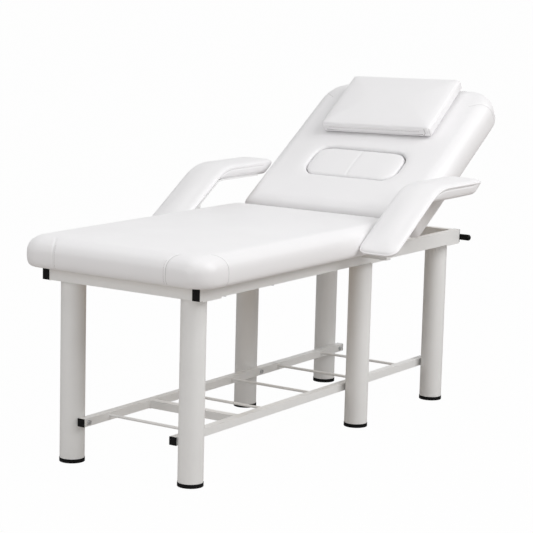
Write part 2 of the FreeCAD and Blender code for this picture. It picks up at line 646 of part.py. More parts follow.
def armLayer(top, bottom, startInset, endInset, near, far, sign):
    # A layer of the armrest between two lines, drawn across from its inner to its outer edge.
    upper = armSide(top, startInset, endInset)
    lower = armSide(bottom, startInset, endInset)
    edges = [Part.LineSegment(upper[0], upper[1]).toShape(), Part.Arc(*upper[1:4]).toShape(),
             Part.LineSegment(upper[3], upper[4]).toShape(), Part.LineSegment(upper[4], lower[4]).toShape(),
             Part.LineSegment(lower[4], lower[3]).toShape(), Part.Arc(lower[3], lower[2], lower[1]).toShape(),
             Part.LineSegment(lower[1], lower[0]).toShape(), Part.LineSegment(lower[0], upper[0]).toShape()]
    face = Part.Face(Part.Wire(edges))
    face.translate(across * sideStart(sign, near, far))
    return face.extrude(across * (far - near))


def underTip(sign):
    # What is cut away under the armrest's tip, so that its underside rises to the piped edge.
    low = armSide(armUnder(0), 0, s.arm_tip_cut)[-1]
    rise = along * s.arm_tip_cut + upward * armDepth
    first = low - rise
    second = low + rise * 2
    corner = FreeCAD.Vector(second.x, 0, first.z)
    face = Part.Face(Part.makePolygon([first, second, corner, first]))
    face.translate(across * (sideStart(sign, armInner, armOuter) - s.overrun))
    return face.extrude(across * (s.arm_width + 2 * s.overrun))


def roundedEnds(layer, depths, radius):
    # Rounds the four upright corners of the layer's two ends.
    ends = [edge for edge in layer.Edges if edge.BoundBox.YLength < s.fit_gap
            and min(abs(edge.Length - depth) for depth in depths) < s.fit_gap]
    return layer.makeFillet(radius, ends)


def armDepthAt(edge):
    # How far the middle of an edge lies under the armrest's top.
    point = edge.valueAt((edge.FirstParameter + edge.LastParameter) / 2)
    low, bendStart, bendMiddle, bendEnd, tip = armSide(armOver(0), 0, 0)
    if point.x > bendEnd.x:
        return bendEnd.z - point.z
    slopeDepth = (point.z - low.z) * math.cos(armSlope) - (point.x - low.x) * math.sin(armSlope)
    if point.x < bendStart.x:
        return -slopeDepth
    centre = bendEnd - upward * s.arm_elbow_radius
    return s.arm_elbow_radius - math.hypot(point.x - centre.x, point.z - centre.z)


armSpan = s.arm_width - armCorner
armTop = armOver(s.arm_crown)
stripBottom = armUnder(s.arm_strip_thickness)
socketOuter = s.arm_post / 2 + s.arm_post_gap + s.arm_socket_wall
socketWidth = "arm_post + 2 * (arm_post_gap + arm_socket_wall)"
postBase = socketBase + s.arm_socket_wall
for sign, side in sideNames.items():
    pad = roundedEnds(armLayer(armTop, armUnder(0), 0, 0, armInner, armOuter, sign),
                      (s.arm_crown + s.arm_slope_depth, s.arm_crown + armDepth), armCorner)
    rim = [edge for edge in pad.Edges
           if abs(armDepthAt(edge) + s.arm_crown) < s.fit_gap and edge.BoundBox.YLength < armSpan]
    board = armLayer(armUnder(-s.arm_board_thickness), armUnder(0), s.arm_board_inset,
                     s.arm_board_inset + s.arm_tip_cut, armInner + s.arm_board_inset,
                     armOuter - s.arm_board_inset, sign)
    board = roundedEnds(board, [s.arm_board_thickness], armCorner - s.arm_board_inset)
    pad = pad.makeFillet(armRound, rim).cut(underTip(sign))
    keep(f"armrest_pad_{side}", shaped(pad.cut(board)))
    keep(f"armrest_board_{side}", shaped(board))
    strip = armLayer(armUnder(0), stripBottom, s.arm_strip_start, s.arm_strip_end,
                     armPostSide - s.arm_strip_width / 2, armPostSide + s.arm_strip_width / 2, sign)
    keep(f"armrest_strip_{side}", shaped(strip))
    post = box("arm_post", "arm_post", "rail_height + arm_low_rise + arm_elbow_rise",
               (armPostPlace - s.arm_post / 2, sign * armPostSide - s.arm_post / 2, postBase))
    above = shaped(armLayer(armOver(armElbowLevel), stripBottom, -armElbowLevel, -armElbowLevel,
                            armPostSide - s.arm_strip_width, armPostSide + s.arm_strip_width, sign))
    keep(f"armrest_post_{side}", cut(post, [above]))
    shell = box(socketWidth, socketWidth, "arm_socket_height",
                (armPostPlace - socketOuter, sign * armPostSide - socketOuter, socketBase))
    arm = box("arm_bar_height", "pad_half_width + arm_gap + arm_post_inset - rail_centre - rail_width / 2",
              "arm_bar_height", (armPostPlace - s.arm_bar_height / 2,
                                 sideStart(sign, railOuter, armPostSide), socketBase))
    well = box("arm_post + 2 * arm_post_gap", "arm_post + 2 * arm_post_gap", "arm_socket_height",
               (armPostPlace - s.arm_post / 2 - s.arm_post_gap,
                sign * armPostSide - s.arm_post / 2 - s.arm_post_gap, postBase))
    keep(f"armrest_socket_{side}", cut(joined([shell, arm]), [well]))

# Back release: a lever on the outer face of the head cross tube, with a grip past the left rail.
leverLevelShare = 0.378
leverLevel = railBottom + leverLevelShare * s.rail_height
leverX = s.rail_head_end + s.lever_offset
leverBack = leverX - s.lever_thickness / 2
bar = box("lever_thickness", "grip_end - grip_wall - lever_inner_end", "lever_depth",
          (leverBack, -s.grip_end + s.grip_wall, leverLevel - s.lever_depth / 2))
leverPinHole = cylinder("lever_pin_diameter + 2 * fit_gap", "lever_thickness + 2 * overrun",
                        (leverBack - s.overrun, -s.lever_pivot, leverLevel), along)
keep("release_lever", cut(bar, [leverPinHole]))
grip = cylinder("grip_diameter", "grip_end - grip_start", (leverX, -s.grip_end, leverLevel), across)
gripSlot = box("lever_thickness + 2 * fit_gap", "grip_end - grip_start", "lever_depth + 2 * fit_gap",
               (leverBack - s.fit_gap, -s.grip_end + s.grip_wall,
                leverLevel - s.lever_depth / 2 - s.fit_gap))
keep("release_grip", cut(grip, [gripSlot]))
post = cylinder("lever_post_diameter", "lever_offset - lever_thickness / 2 - side_play",
                (s.rail_head_end, -s.lever_pivot, leverLevel), along)
pinStem = cylinder("lever_pin_diameter", "lever_thickness + 2 * side_play",
                   (leverBack - s.side_play, -s.lever_pivot, leverLevel), along)
pinHead = cylinder("lever_pin_head", "lever_pin_head_height",
                   (leverX + s.lever_thickness / 2 + s.side_play, -s.lever_pivot, leverLevel), along)
keep("lever_post", joined([post, pinStem, pinHead]))

doc.recompute()
for obj in doc.Objects:
    if {"Invalid", "Error"} & set(obj.State):
        raise RuntimeError(f"{obj.Label} did not build: {obj.State}")
for part in subParts:
    if part.Shape.isNull() or not part.Shape.isValid() or not part.Shape.Solids:
        raise RuntimeError(f"{part.Label} has no valid solid")
os.makedirs("parts", exist_ok=True)
for part in subParts:
    part.Shape.exportStep(f"parts/{part.Label}.step")
print(len(subParts), "sub-parts,", sum(len(part.Shape.Solids) for part in subParts), "solids")
print("origin", originPlace, "hinge", list(backFrame.Base))
print("spring pivots", fixedRest, movingRest)
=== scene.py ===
import json
import math

import bmesh
import bpy
from mathutils import Matrix, Vector
from mathutils.bvhtree import BVHTree
from mathutils.kdtree import KDTree


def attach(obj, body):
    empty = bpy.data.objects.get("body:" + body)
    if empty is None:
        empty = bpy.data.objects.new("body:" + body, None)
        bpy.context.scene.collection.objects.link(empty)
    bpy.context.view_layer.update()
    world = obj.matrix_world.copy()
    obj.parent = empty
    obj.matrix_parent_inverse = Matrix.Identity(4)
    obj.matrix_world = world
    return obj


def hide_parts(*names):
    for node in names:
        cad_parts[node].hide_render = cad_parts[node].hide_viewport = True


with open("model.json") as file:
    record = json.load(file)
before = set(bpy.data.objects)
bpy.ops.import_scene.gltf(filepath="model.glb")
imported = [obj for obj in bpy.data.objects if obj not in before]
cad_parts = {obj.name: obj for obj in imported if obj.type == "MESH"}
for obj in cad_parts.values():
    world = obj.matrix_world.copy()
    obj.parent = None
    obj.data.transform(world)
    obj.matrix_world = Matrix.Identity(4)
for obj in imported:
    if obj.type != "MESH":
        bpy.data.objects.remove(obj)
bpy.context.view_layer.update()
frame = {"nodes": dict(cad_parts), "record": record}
nodes = frame["nodes"]
scene = bpy.context.scene
print("frame loaded,", len(nodes), "nodes")

mm = 0.001
footToMiddle = 783.4598  # from the foot legs to the middle of the bed, mm
backTilt = math.radians(34)
hingeAxis = Vector((0.301540, 0, 0.615))


def flatPlace(along, across, height):
    # A point of the bed from its distance past the foot legs, side and height, in mm.
    return Vector((along - footToMiddle, across, height)) * mm


def backPlace(along, across, height):
    # A point of the back from its distance up the back, side and height over the hinge line, in mm.
    up = Vector((math.cos(backTilt), 0, math.sin(backTilt)))
    out = Vector((-math.sin(backTilt), 0, math.cos(backTilt)))
    return hingeAxis + (up * along + Vector((0, across, 0)) + out * height) * mm


# Materials

def toLinear(code):
    # sRGB hex to the linear colour that a shader socket takes.
    parts = [int(code[i:i + 2], 16) / 255 for i in (1, 3, 5)]
    return [v / 12.92 if v <= 0.04045 else ((v + 0.055) / 1.055) ** 2.4 for v in parts] + [1]


def addNode(tree, kind, settings=None, **links):
    # One node, its settings by attribute or by socket, and its links by socket name.
    node = tree.nodes.new(kind)
    for key, value in (settings or {}).items():
        if hasattr(node, key):
            setattr(node, key, value)
        else:
            node.inputs[key].default_value = value
    for key, source in links.items():
        target = node.inputs[int(key[2:])] if key.startswith("at") else node.inputs[key.replace("_", " ")]
        tree.links.new(source, target)
    return node


def newMaterial(name, settings):
    material = bpy.data.materials.new(name)
    material.use_nodes = True
    tree = material.node_tree
    shader = tree.nodes["Principled BSDF"]
    for key, value in settings.items():
        shader.inputs[key].default_value = value
    return material, tree, shader


def finishSkin(tree, shader, tones, tintShare, roughness, roughShare, normal=None):
    # What every finish has: two tones and a roughness, each led by a pattern, and mostly a bump.
    tint = addNode(tree, "ShaderNodeMix", {"data_type": "RGBA"}, at0=tintShare)
    tint.inputs[6].default_value = toLinear(tones[0])
    tint.inputs[7].default_value = toLinear(tones[1])
    rough = addNode(tree, "ShaderNodeMapRange", {"To Min": roughness[0], "To Max": roughness[1]},
                    Value=roughShare)
    tree.links.new(tint.outputs[2], shader.inputs["Base Color"])
    tree.links.new(rough.outputs["Result"], shader.inputs["Roughness"])
    if normal:
        tree.links.new(normal, shader.inputs["Normal"])
    return tint.outputs[2]


def upholsteryVinyl(name, tones, seamShadeTone):
    # Embossed PVC on a foam back: a soft sheen, a fine pebble and slow waves from the foam below.
    # The real pebble is about 0.7 mm, too fine for the render, and is drawn at 2 mm.
    material, tree, shader = newMaterial(name, {"IOR": 1.52, "Sheen Weight": 0.06, "Sheen Roughness": 0.5})
    place = addNode(tree, "ShaderNodeTexCoord").outputs["Object"]
    pebble = addNode(tree, "ShaderNodeTexVoronoi", {"Scale": 1000 / 2.0, "feature": "SMOOTH_F1"},
                     Vector=place)
    waves = addNode(tree, "ShaderNodeTexNoise", {"Scale": 1000 / 90, "Detail": 2.0}, Vector=place)
    blotch = addNode(tree, "ShaderNodeTexNoise", {"Scale": 1000 / 160, "Detail": 3.0}, Vector=place)
    low = addNode(tree, "ShaderNodeBump", {"Strength": 0.12, "Distance": 0.002}, Height=waves.outputs["Fac"])
    fine = addNode(tree, "ShaderNodeBump", {"Strength": 0.1, "Distance": 0.0004},
                   Height=pebble.outputs["Distance"], Normal=low.outputs["Normal"])
    tint = finishSkin(tree, shader, tones, blotch.outputs["Fac"], (0.36, 0.5), blotch.outputs["Fac"],
                      fine.outputs["Normal"])
    # Painted shade: the seam attribute mixes the vinyl towards seamShadeTone along seams, creases, folds and
    # under the zip flap.
    seam = addNode(tree, "ShaderNodeAttribute", {"attribute_name": "seam"})
    colour = addNode(tree, "ShaderNodeMix", {"data_type": "RGBA"}, at0=seam.outputs["Fac"], at6=tint)
    colour.inputs[7].default_value = toLinear(seamShadeTone)
    tree.links.new(colour.outputs[2], shader.inputs["Base Color"])
    return material


def powderEnamel(name, tones):
    # Powder coat baked on steel tube: an even satin skin with a slight orange peel, about 3 mm across.
    material, tree, shader = newMaterial(name, {"IOR": 1.5, "Coat Weight": 0.12, "Coat Roughness": 0.25})
    place = addNode(tree, "ShaderNodeTexCoord").outputs["Object"]
    peel = addNode(tree, "ShaderNodeTexNoise", {"Scale": 1000 / 3, "Detail": 1.0}, Vector=place)
    cloud = addNode(tree, "ShaderNodeTexNoise", {"Scale": 1000 / 70, "Detail": 2.0}, Vector=place)
    skin = addNode(tree, "ShaderNodeBump", {"Strength": 0.08, "Distance": 0.0005},
                   Height=peel.outputs["Fac"])
    finishSkin(tree, shader, tones, cloud.outputs["Fac"], (0.3, 0.42), cloud.outputs["Fac"],
               skin.outputs["Normal"])
    return material


def mouldedBlack(name, tones, roughness, grain):
    # Polymer from a spark-textured mould: near black, a dull even grain and paler scuffs.
    material, tree, shader = newMaterial(name, {"IOR": 1.5, "Specular IOR Level": 0.12})
    place = addNode(tree, "ShaderNodeTexCoord").outputs["Object"]
    spark = addNode(tree, "ShaderNodeTexNoise", {"Scale": 1000 / grain, "Detail": 3.0}, Vector=place)
    scuff = addNode(tree, "ShaderNodeTexNoise", {"Scale": 1000 / 22, "Detail": 4.0, "Roughness": 0.65},
                    Vector=place)
    skin = addNode(tree, "ShaderNodeBump", {"Strength": 0.25, "Distance": 0.0004},
                   Height=spark.outputs["Fac"])
    finishSkin(tree, shader, tones, scuff.outputs["Fac"], roughness, scuff.outputs["Fac"],
               skin.outputs["Normal"])
    return material


def platedSteel(name, tones):
    # Zinc-plated steel: a bright grey metal with a fine crystalline cloud, about 6 mm across.
    material, tree, shader = newMaterial(name, {"Metallic": 1.0})
    place = addNode(tree, "ShaderNodeTexCoord").outputs["Object"]
    cloud = addNode(tree, "ShaderNodeTexNoise", {"Scale": 1000 / 6, "Detail": 3.0}, Vector=place)
    finishSkin(tree, shader, tones, cloud.outputs["Fac"], (0.2, 0.38), cloud.outputs["Fac"])
    return material


def birchPlywood(name, tones):
    # Raw birch ply: pale streaks about 24 mm wide along the bed, dull and dry.
    material, tree, shader = newMaterial(name, {"IOR": 1.45, "Specular IOR Level": 0.3})
    place = addNode(tree, "ShaderNodeTexCoord").outputs["Object"]
    stretch = addNode(tree, "ShaderNodeMapping", {"Scale": (0.05, 1.0, 0.05)}, Vector=place)
    figure = addNode(tree, "ShaderNodeTexNoise", {"Scale": 1000 / 24, "Detail": 5.0, "Distortion": 0.4},
                     Vector=stretch.outputs["Vector"])
    pores = addNode(tree, "ShaderNodeTexNoise", {"Scale": 1000 / 2.5, "Detail": 4.0},
                    Vector=stretch.outputs["Vector"])
    skin = addNode(tree, "ShaderNodeBump", {"Strength": 0.2, "Distance": 0.0005},
                   Height=pores.outputs["Fac"])
    finishSkin(tree, shader, tones, figure.outputs["Fac"], (0.6, 0.8), pores.outputs["Fac"],
               skin.outputs["Normal"])
    return material


def sewingThread(name, tones):
    # Bonded polyester thread: off-white, dull, with a twist about 1.5 mm long.
    material, tree, shader = newMaterial(name, {"IOR": 1.5, "Sheen Weight": 0.2})
    place = addNode(tree, "ShaderNodeTexCoord").outputs["Object"]
    twist = addNode(tree, "ShaderNodeTexWave", {"Scale": 1000 / 1.5 / 20, "Distortion": 1.0}, Vector=place)
    finishSkin(tree, shader, tones, twist.outputs["Fac"], (0.55, 0.7), twist.outputs["Fac"])
    return material


# The last tone is painted seam shade, not a colour of the vinyl.
vinyl = upholsteryVinyl("white upholstery vinyl", ("#f3f2f3", "#efeeef"), "#8f8b8b")
whiteEnamel = powderEnamel("white powder enamel", ("#f1f1f0", "#ebebea"))
blackEnamel = powderEnamel("black powder enamel", ("#141416", "#1b1b1d"))
blackPlastic = mouldedBlack("black moulded polyethylene", ("#060607", "#0e0e0f"), (0.42, 0.58), 1.2)
blackRubber = mouldedBlack("black moulded rubber", ("#08080a", "#121212"), (0.6, 0.8), 1.6)
steel = platedSteel("zinc plated steel", ("#b9bcc0", "#d3d5d6"))
plywood = birchPlywood("raw birch plywood", ("#e2cca8", "#c9ab80"))
thread = sewingThread("bonded sewing thread", ("#c4c0c0", "#a5a0a0"))
finishes = {"white_vinyl": vinyl, "plywood": plywood, "black_rubber": blackRubber,
            "black_plastic": blackPlastic, "bright_steel": steel, "black_enamel": blackEnamel,
            "white_enamel": whiteEnamel}


def paintFrame(record):
    # Gives each CAD node the finish of its slot.
    for part in record["subparts"]:
        node = nodes[part["node"]]
        for place in node.material_slots:
            place.material = finishes[part["material_slot"]]


paintFrame(frame["record"])
print("materials ready")

# Camera at the photograph's viewing angle
cameraSizes = {"place": (-5.1290, -3.3418, 1.5182), "yaw": 0.5842, "pitch": 0.1607, "roll": -0.0258,
               "focalPixels": 1894.0962, "imagePixels": 533, "sensor": 36.0}


def addCamera(sizes):
    lens = sizes["focalPixels"] / sizes["imagePixels"] * sizes["sensor"]
    data = bpy.data.cameras.new("photo view")
    data.lens = lens
    data.sensor_width = sizes["sensor"]
    data.clip_end = 300
    camera = bpy.data.objects.new("photo view", data)
    scene.collection.objects.link(camera)
    yaw, pitch, roll = sizes["yaw"], sizes["pitch"], sizes["roll"]
    forward = Vector((math.cos(yaw) * math.cos(pitch), math.sin(yaw) * math.cos(pitch), -math.sin(pitch)))
    right = Vector((math.sin(yaw), -math.cos(yaw), 0))
    down = forward.cross(right)
    side = math.cos(roll) * right + math.sin(roll) * down
    below = math.cos(roll) * down - math.sin(roll) * right
    turn = Matrix((side, -below, -forward)).transposed()
    camera.matrix_world = Matrix.Translation(sizes["place"]) @ turn.to_4x4()
    scene.camera = camera


addCamera(cameraSizes)

# Floor, background and soft studio light
studio = {"floor": "#c4bfbb", "floorHalf": 90, "worldLight": 0.32, "floorGlow": 0.985, "aim": (0, 0, 0.6),
          "key": {"place": (0.35, -3.9, 3.8), "size": 3.6, "power": 160},
          "fill": {"place": (-4.6, 0.4, 1.7), "size": 2.4, "power": 38},
          "top": {"place": (-1.6, 0.4, 4.2), "size": 3.0, "power": 36}}


def addStudio(sizes):
    world = bpy.data.worlds.new("white studio")
    scene.world = world
    world.use_nodes = True
    tree = world.node_tree
    back = tree.nodes["Background"]
    back.inputs["Color"].default_value = (1, 1, 1, 1)
    rays = addNode(tree, "ShaderNodeLightPath")
    seen = addNode(tree, "ShaderNodeMath", {"operation": "MAXIMUM"}, at0=rays.outputs["Is Camera Ray"],
                   at1=rays.outputs["Is Glossy Ray"])
    through = addNode(tree, "ShaderNodeMath", {"operation": "MAXIMUM"}, at0=seen.outputs[0],
                      at1=rays.outputs["Is Transmission Ray"])
    strength = addNode(tree, "ShaderNodeMapRange", {"To Min": sizes["worldLight"], "To Max": 1.0},
                       Value=through.outputs[0])
    tree.links.new(strength.outputs["Result"], back.inputs["Strength"])

    floorMesh = bpy.data.meshes.new("studio floor")
    far = sizes["floorHalf"]
    floorMesh.from_pydata([(-far, -far, 0), (far, -far, 0), (far, far, 0), (-far, far, 0)], [],
                          [(0, 1, 2, 3)])
    floor = bpy.data.objects.new("studio_floor", floorMesh)
    scene.collection.objects.link(floor)
    paint, floorTree, shader = newMaterial("matt studio floor",
                                           {"Roughness": 0.9, "Specular IOR Level": 0.1})
    shader.inputs["Base Color"].default_value = toLinear(sizes["floor"])
    glow = addNode(floorTree, "ShaderNodeEmission", {"Strength": 1.0})
    glow.inputs["Color"].default_value = (1, 1, 1, 1)
    eye = addNode(floorTree, "ShaderNodeLightPath")
    share = addNode(floorTree, "ShaderNodeMath", {"operation": "MULTIPLY"},
                    at0=eye.outputs["Is Camera Ray"])
    share.inputs[1].default_value = sizes["floorGlow"]
    mix = addNode(floorTree, "ShaderNodeMixShader", None, at0=share.outputs[0], at1=shader.outputs[0],
                  at2=glow.outputs[0])
    floorTree.links.new(mix.outputs[0], floorTree.nodes["Material Output"].inputs["Surface"])
    floorMesh.materials.append(paint)

    for name in ("key", "fill", "top"):
        lamp = sizes[name]
        data = bpy.data.lights.new(name + " softbox", "AREA")
        data.shape = "SQUARE"
        data.size = lamp["size"]
        data.energy = lamp["power"]
        light = bpy.data.objects.new(name + " softbox", data)
        light.location = lamp["place"]
        aim = Vector(sizes["aim"]) - light.location
        light.rotation_euler = aim.to_track_quat("-Z", "Y").to_euler()
        scene.collection.objects.link(light)


addStudio(studio)
scene.view_settings.view_transform = "Standard"
print("camera and studio ready")


# Upholstery helpers

def roundedLoop(plan, inset, runSteps, cornerSteps=10):
    # The plan outline of a pad in mm, pulled in by inset, anticlockwise from its far end.
    low, high, half = plan["start"] + inset, plan["end"] - inset, plan["half"] - inset
    points = []
    for turn, corner, signs in ((0, plan["endCorner"], (1, 1)), (1, plan["startCorner"], (-1, 1)),
                                (2, plan["startCorner"], (-1, -1)), (3, plan["endCorner"], (1, -1))):
        radius = max(corner - inset, 1.0)
        radius = min(radius, half * 0.98)
        centre = ((high - radius) if signs[0] > 0 else (low + radius), signs[1] * (half - radius))
        for step in range(cornerSteps + 1):
            angle = (turn + step / cornerSteps) * math.pi / 2
            points.append((centre[0] + radius * math.cos(angle), centre[1] + radius * math.sin(angle)))
    loop = []
    corners = [points[i * (cornerSteps + 1):(i + 1) * (cornerSteps + 1)] for i in range(4)]
    for i, corner in enumerate(corners):
        loop += corner
        start, stop = corner[-1], corners[(i + 1) % 4][0]
        steps = runSteps[i % 2]
        loop += [tuple(a + (b - a) * k / steps for a, b in zip(start, stop)) for k in range(1, steps)]
    return loop


def newPiece(name, work):
    mesh = bpy.data.meshes.new(name)
    work.to_mesh(mesh)
    work.free()
    piece = bpy.data.objects.new(name, mesh)
    scene.collection.objects.link(piece)
    return piece


def loft(name, work, rings, closed=False):
    # Skins a row of rings: its sides, and its two ends unless the row closes on itself.
    count = len(rings[0])
    pairs = list(zip(rings, rings[1:])) + ([(rings[-1], rings[0])] if closed else [])
    for first, second in pairs:
        for i in range(count):
            j = (i + 1) % count
            work.faces.new((first[i], first[j], second[j], second[i]))
    if not closed:
        work.faces.new(list(reversed(rings[0])))
        work.faces.new(rings[-1])
    bmesh.ops.recalc_face_normals(work, faces=work.faces)
    return newPiece(name, work)


def padShell(name, plan, profile, place, runSteps=(12, 8)):
    # A closed pad lofted from its underside, out round its edge and in over its top.
    work = bmesh.new()
    rings = [[work.verts.new(place(along, across, height))
              for along, across in roundedLoop(plan, inset, runSteps)] for inset, height in profile]
    return loft(name, work, rings)


def settle(piece):
    # Turns a piece and its modifiers into a plain mesh.
    graph = bpy.context.evaluated_depsgraph_get()
    mesh = bpy.data.meshes.new_from_object(piece.evaluated_get(graph))
    old = piece.data
    piece.modifiers.clear()
    piece.data = mesh
    bpy.data.meshes.remove(old)
    return piece


def quarter(steps):
    # The angles of a quarter turn.
    return [math.pi / 2 * k / steps for k in range(steps + 1)]


ringGap = 0.5  # how far the innermost ring of a pad stays from its middle line, mm
rimShelf = {"lift": 6, "inner": 44, "outer": 38}


def edgeProfile(pad):
    # Insets and heights from under the rim, round the edge and up to the crown.
    base, top, low, high = pad["base"], pad["top"], pad["lowRound"], pad["highRound"]
    half, tuck, bottom = pad["plan"]["half"], pad["tuck"], base - pad["hang"]
    shelf = base + rimShelf["lift"]
    rim = [(half - ringGap, shelf), (rimShelf["inner"], shelf), (rimShelf["outer"], bottom)]
    lower = [(tuck - tuck * math.sin(a), bottom + low - low * math.cos(a)) for a in quarter(5)]
    upper = [(high - high * math.cos(a), top - high + high * math.sin(a)) for a in quarter(8)]
    crown = []
    for k in range(1, 8):
        inset = high + (half - ringGap - high) * k / 7
        crown.append((inset, top + pad["crown"] * (1 - ((half - inset) / (half - high)) ** 2)))
    return rim + lower + upper + crown


def liftRim(piece, end, run, floor, height, lift):
    # Where a rail passes under a pad's end, its cover stays over the rail and doesn't hang beside it.
    for vertex in piece.data.vertices:
        along, level = height(vertex.co)
        if level < floor:
            share = min(1.0, max(0.0, 1 - abs(along - end) / run))
            vertex.co += lift * ((floor - level) * share * mm)


def voxelSkin(piece, voxel, smoothing):
    remesh = piece.modifiers.new("voxels", "REMESH")
    remesh.mode = "VOXEL"
    remesh.voxel_size = voxel * mm
    ease = piece.modifiers.new("ease", "SMOOTH")
    ease.factor = 0.5
    ease.iterations = smoothing
    return settle(piece)


coverCloth = {"quality": 3, "mass": 0.3, "stretch": 25, "bend": 4, "evening": 4}


def inflate(piece, pad, held):
    # Foam pushing out its cover: cloth under pressure, held where it is tacked.
    group = piece.vertex_groups.new(name="tacked")
    start = [v.co.copy() for v in piece.data.vertices]
    outward = [v.normal.copy() for v in piece.data.vertices]
    group.add([i for i, point in enumerate(start) if held(point)], 1.0, "REPLACE")
    cloth = piece.modifiers.new("cover", "CLOTH")
    cloth.settings.quality = coverCloth["quality"]
    cloth.settings.mass = coverCloth["mass"]
    cloth.settings.tension_stiffness = coverCloth["stretch"]
    cloth.settings.compression_stiffness = coverCloth["stretch"]
    cloth.settings.bending_stiffness = coverCloth["bend"]
    cloth.settings.use_pressure = True
    cloth.settings.uniform_pressure_force = pad["pressure"]
    cloth.settings.effector_weights.gravity = 0
    cloth.settings.vertex_group_mass = "tacked"
    cloth.point_cache.frame_start = 1
    cloth.point_cache.frame_end = pad["frames"]
    for step in range(1, pad["frames"] + 1):
        scene.frame_set(step)
    settle(piece)
    # The foam keeps the cover from sinking in, so only its swell is kept, evened out.
    swell = [max(0.0, (v.co - before).dot(normal))
             for v, before, normal in zip(piece.data.vertices, start, outward)]
    links = [tuple(edge.vertices) for edge in piece.data.edges]
    for _ in range(coverCloth["evening"]):
        total, count = list(swell), [1] * len(swell)
        for a, b in links:
            total[a] += swell[b]
            total[b] += swell[a]
            count[a] += 1
            count[b] += 1
        swell = [t / c for t, c in zip(total, count)]
    most = pad["cap"] * mm
    for vertex, before, normal, push in zip(piece.data.vertices, start, outward, swell):
        vertex.co = before + normal * (most * math.tanh(push / most))
    piece.vertex_groups.clear()
    scene.frame_set(1)
    return piece


def subdivide(piece):
    finer = piece.modifiers.new("finer", "SUBSURF")
    finer.levels = 1
    finer.render_levels = 1
    return settle(piece)


def surfaceOf(piece):
    mesh = piece.data
    return BVHTree.FromPolygons([v.co for v in mesh.vertices], [p.vertices for p in mesh.polygons])


def laidOn(tree, points, step=0.0025):
    # Points of a line drawn on a cover: evenly spaced and dropped on its surface.
    dense = []
    for a, b in zip(points, points[1:]):
        count = max(1, int((b - a).length / step))
        dense += [a.lerp(b, k / count) for k in range(count)]
    dense.append(points[-1])
    found = [tree.find_nearest(point) for point in dense]
    return [(hit[0], hit[1]) for hit in found]


def smoothLine(points, steps=12):
    # A smooth line through a few points.
    ends = [points[0] * 2 - points[1]] + list(points) + [points[-1] * 2 - points[-2]]
    line = []
    for p0, p1, p2, p3 in zip(ends, ends[1:], ends[2:], ends[3:]):
        for k in range(steps):
            t = k / steps
            line.append(0.5 * ((2 * p1) + (p2 - p0) * t + (2 * p0 - 5 * p1 + 4 * p2 - p3) * t * t
                               + (3 * p1 - p0 - 3 * p2 + p3) * t ** 3))
    line.append(points[-1])
    return line


def indexOf(points):
    # Finds the nearest of many points.
    index = KDTree(len(points))
    for i, point in enumerate(points):
        index.insert(point, i)
    index.balance()
    return index


finerWithin = (9.0, 4.0)  # distances from a seam inside which the mesh is split, mm


def sewSeams(piece, lines, depth=1.4, reach=7.0, shadeWidth=1.6, shadeStrengths=None):
    # Presses the seams into the cover and marks them for the material with painted shade: each line darkens
    # the vinyl by its own strength out to shadeWidth mm, standing in for the shade in its groove.
    shadeStrengths = shadeStrengths or [1.0] * len(lines)
    paintedShade = [shade for line, shade in zip(lines, shadeStrengths) for _ in line]
    index = indexOf([point for line in lines for point, _ in line])
    work = bmesh.new()
    work.from_mesh(piece.data)
    for width in finerWithin:
        near = [edge for edge in work.edges
                if index.find((edge.verts[0].co + edge.verts[1].co) / 2)[2] < width * mm]
        bmesh.ops.subdivide_edges(work, edges=near, cuts=1, use_grid_fill=True)
    work.normal_update()
    layer = work.verts.layers.float.new("seam")
    moves = []
    for vertex in work.verts:
        found = index.find(vertex.co)
        gap = found[2] / mm
        if gap < reach:
            share = (1 - (gap / reach) ** 2) ** 2
            moves.append((vertex, vertex.normal * (-depth * mm * share)))
        vertex[layer] = paintedShade[found[1]] * max(0.0, 1 - gap / shadeWidth)
    for vertex, move in moves:
        vertex.co += move
    work.to_mesh(piece.data)
    work.free()


def panelSeams(tree, pad, place, end, away):
    # The seams of the corner panels: on each side one on the long edge and one on the pad's end.
    # Each row of a seam holds its distance along the pad, its inset from the edge and its height.
    seams = []
    for side in (-1, 1):
        edge = side * pad["plan"]["half"]
        longRun = [(away * pad["panelOnSide"] + along, inset, height)
                   for along, inset, height in pad["sideSeam"]]
        endRun = [(along, pad["panelOnEnd"] + inset, height) for along, inset, height in pad["endSeam"]]
        for run in (longRun, endRun):
            points = [place(end + along, edge - side * inset, height) for along, inset, height in run]
            seams.append(laidOn(tree, smoothLine(points)))
    return seams


def dress(piece, material, body, replaced):
    piece.data.materials.clear()
    piece.data.materials.append(material)
    for face in piece.data.polygons:
        face.use_smooth = True
    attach(piece, body)
    if replaced:
        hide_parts(*replaced)


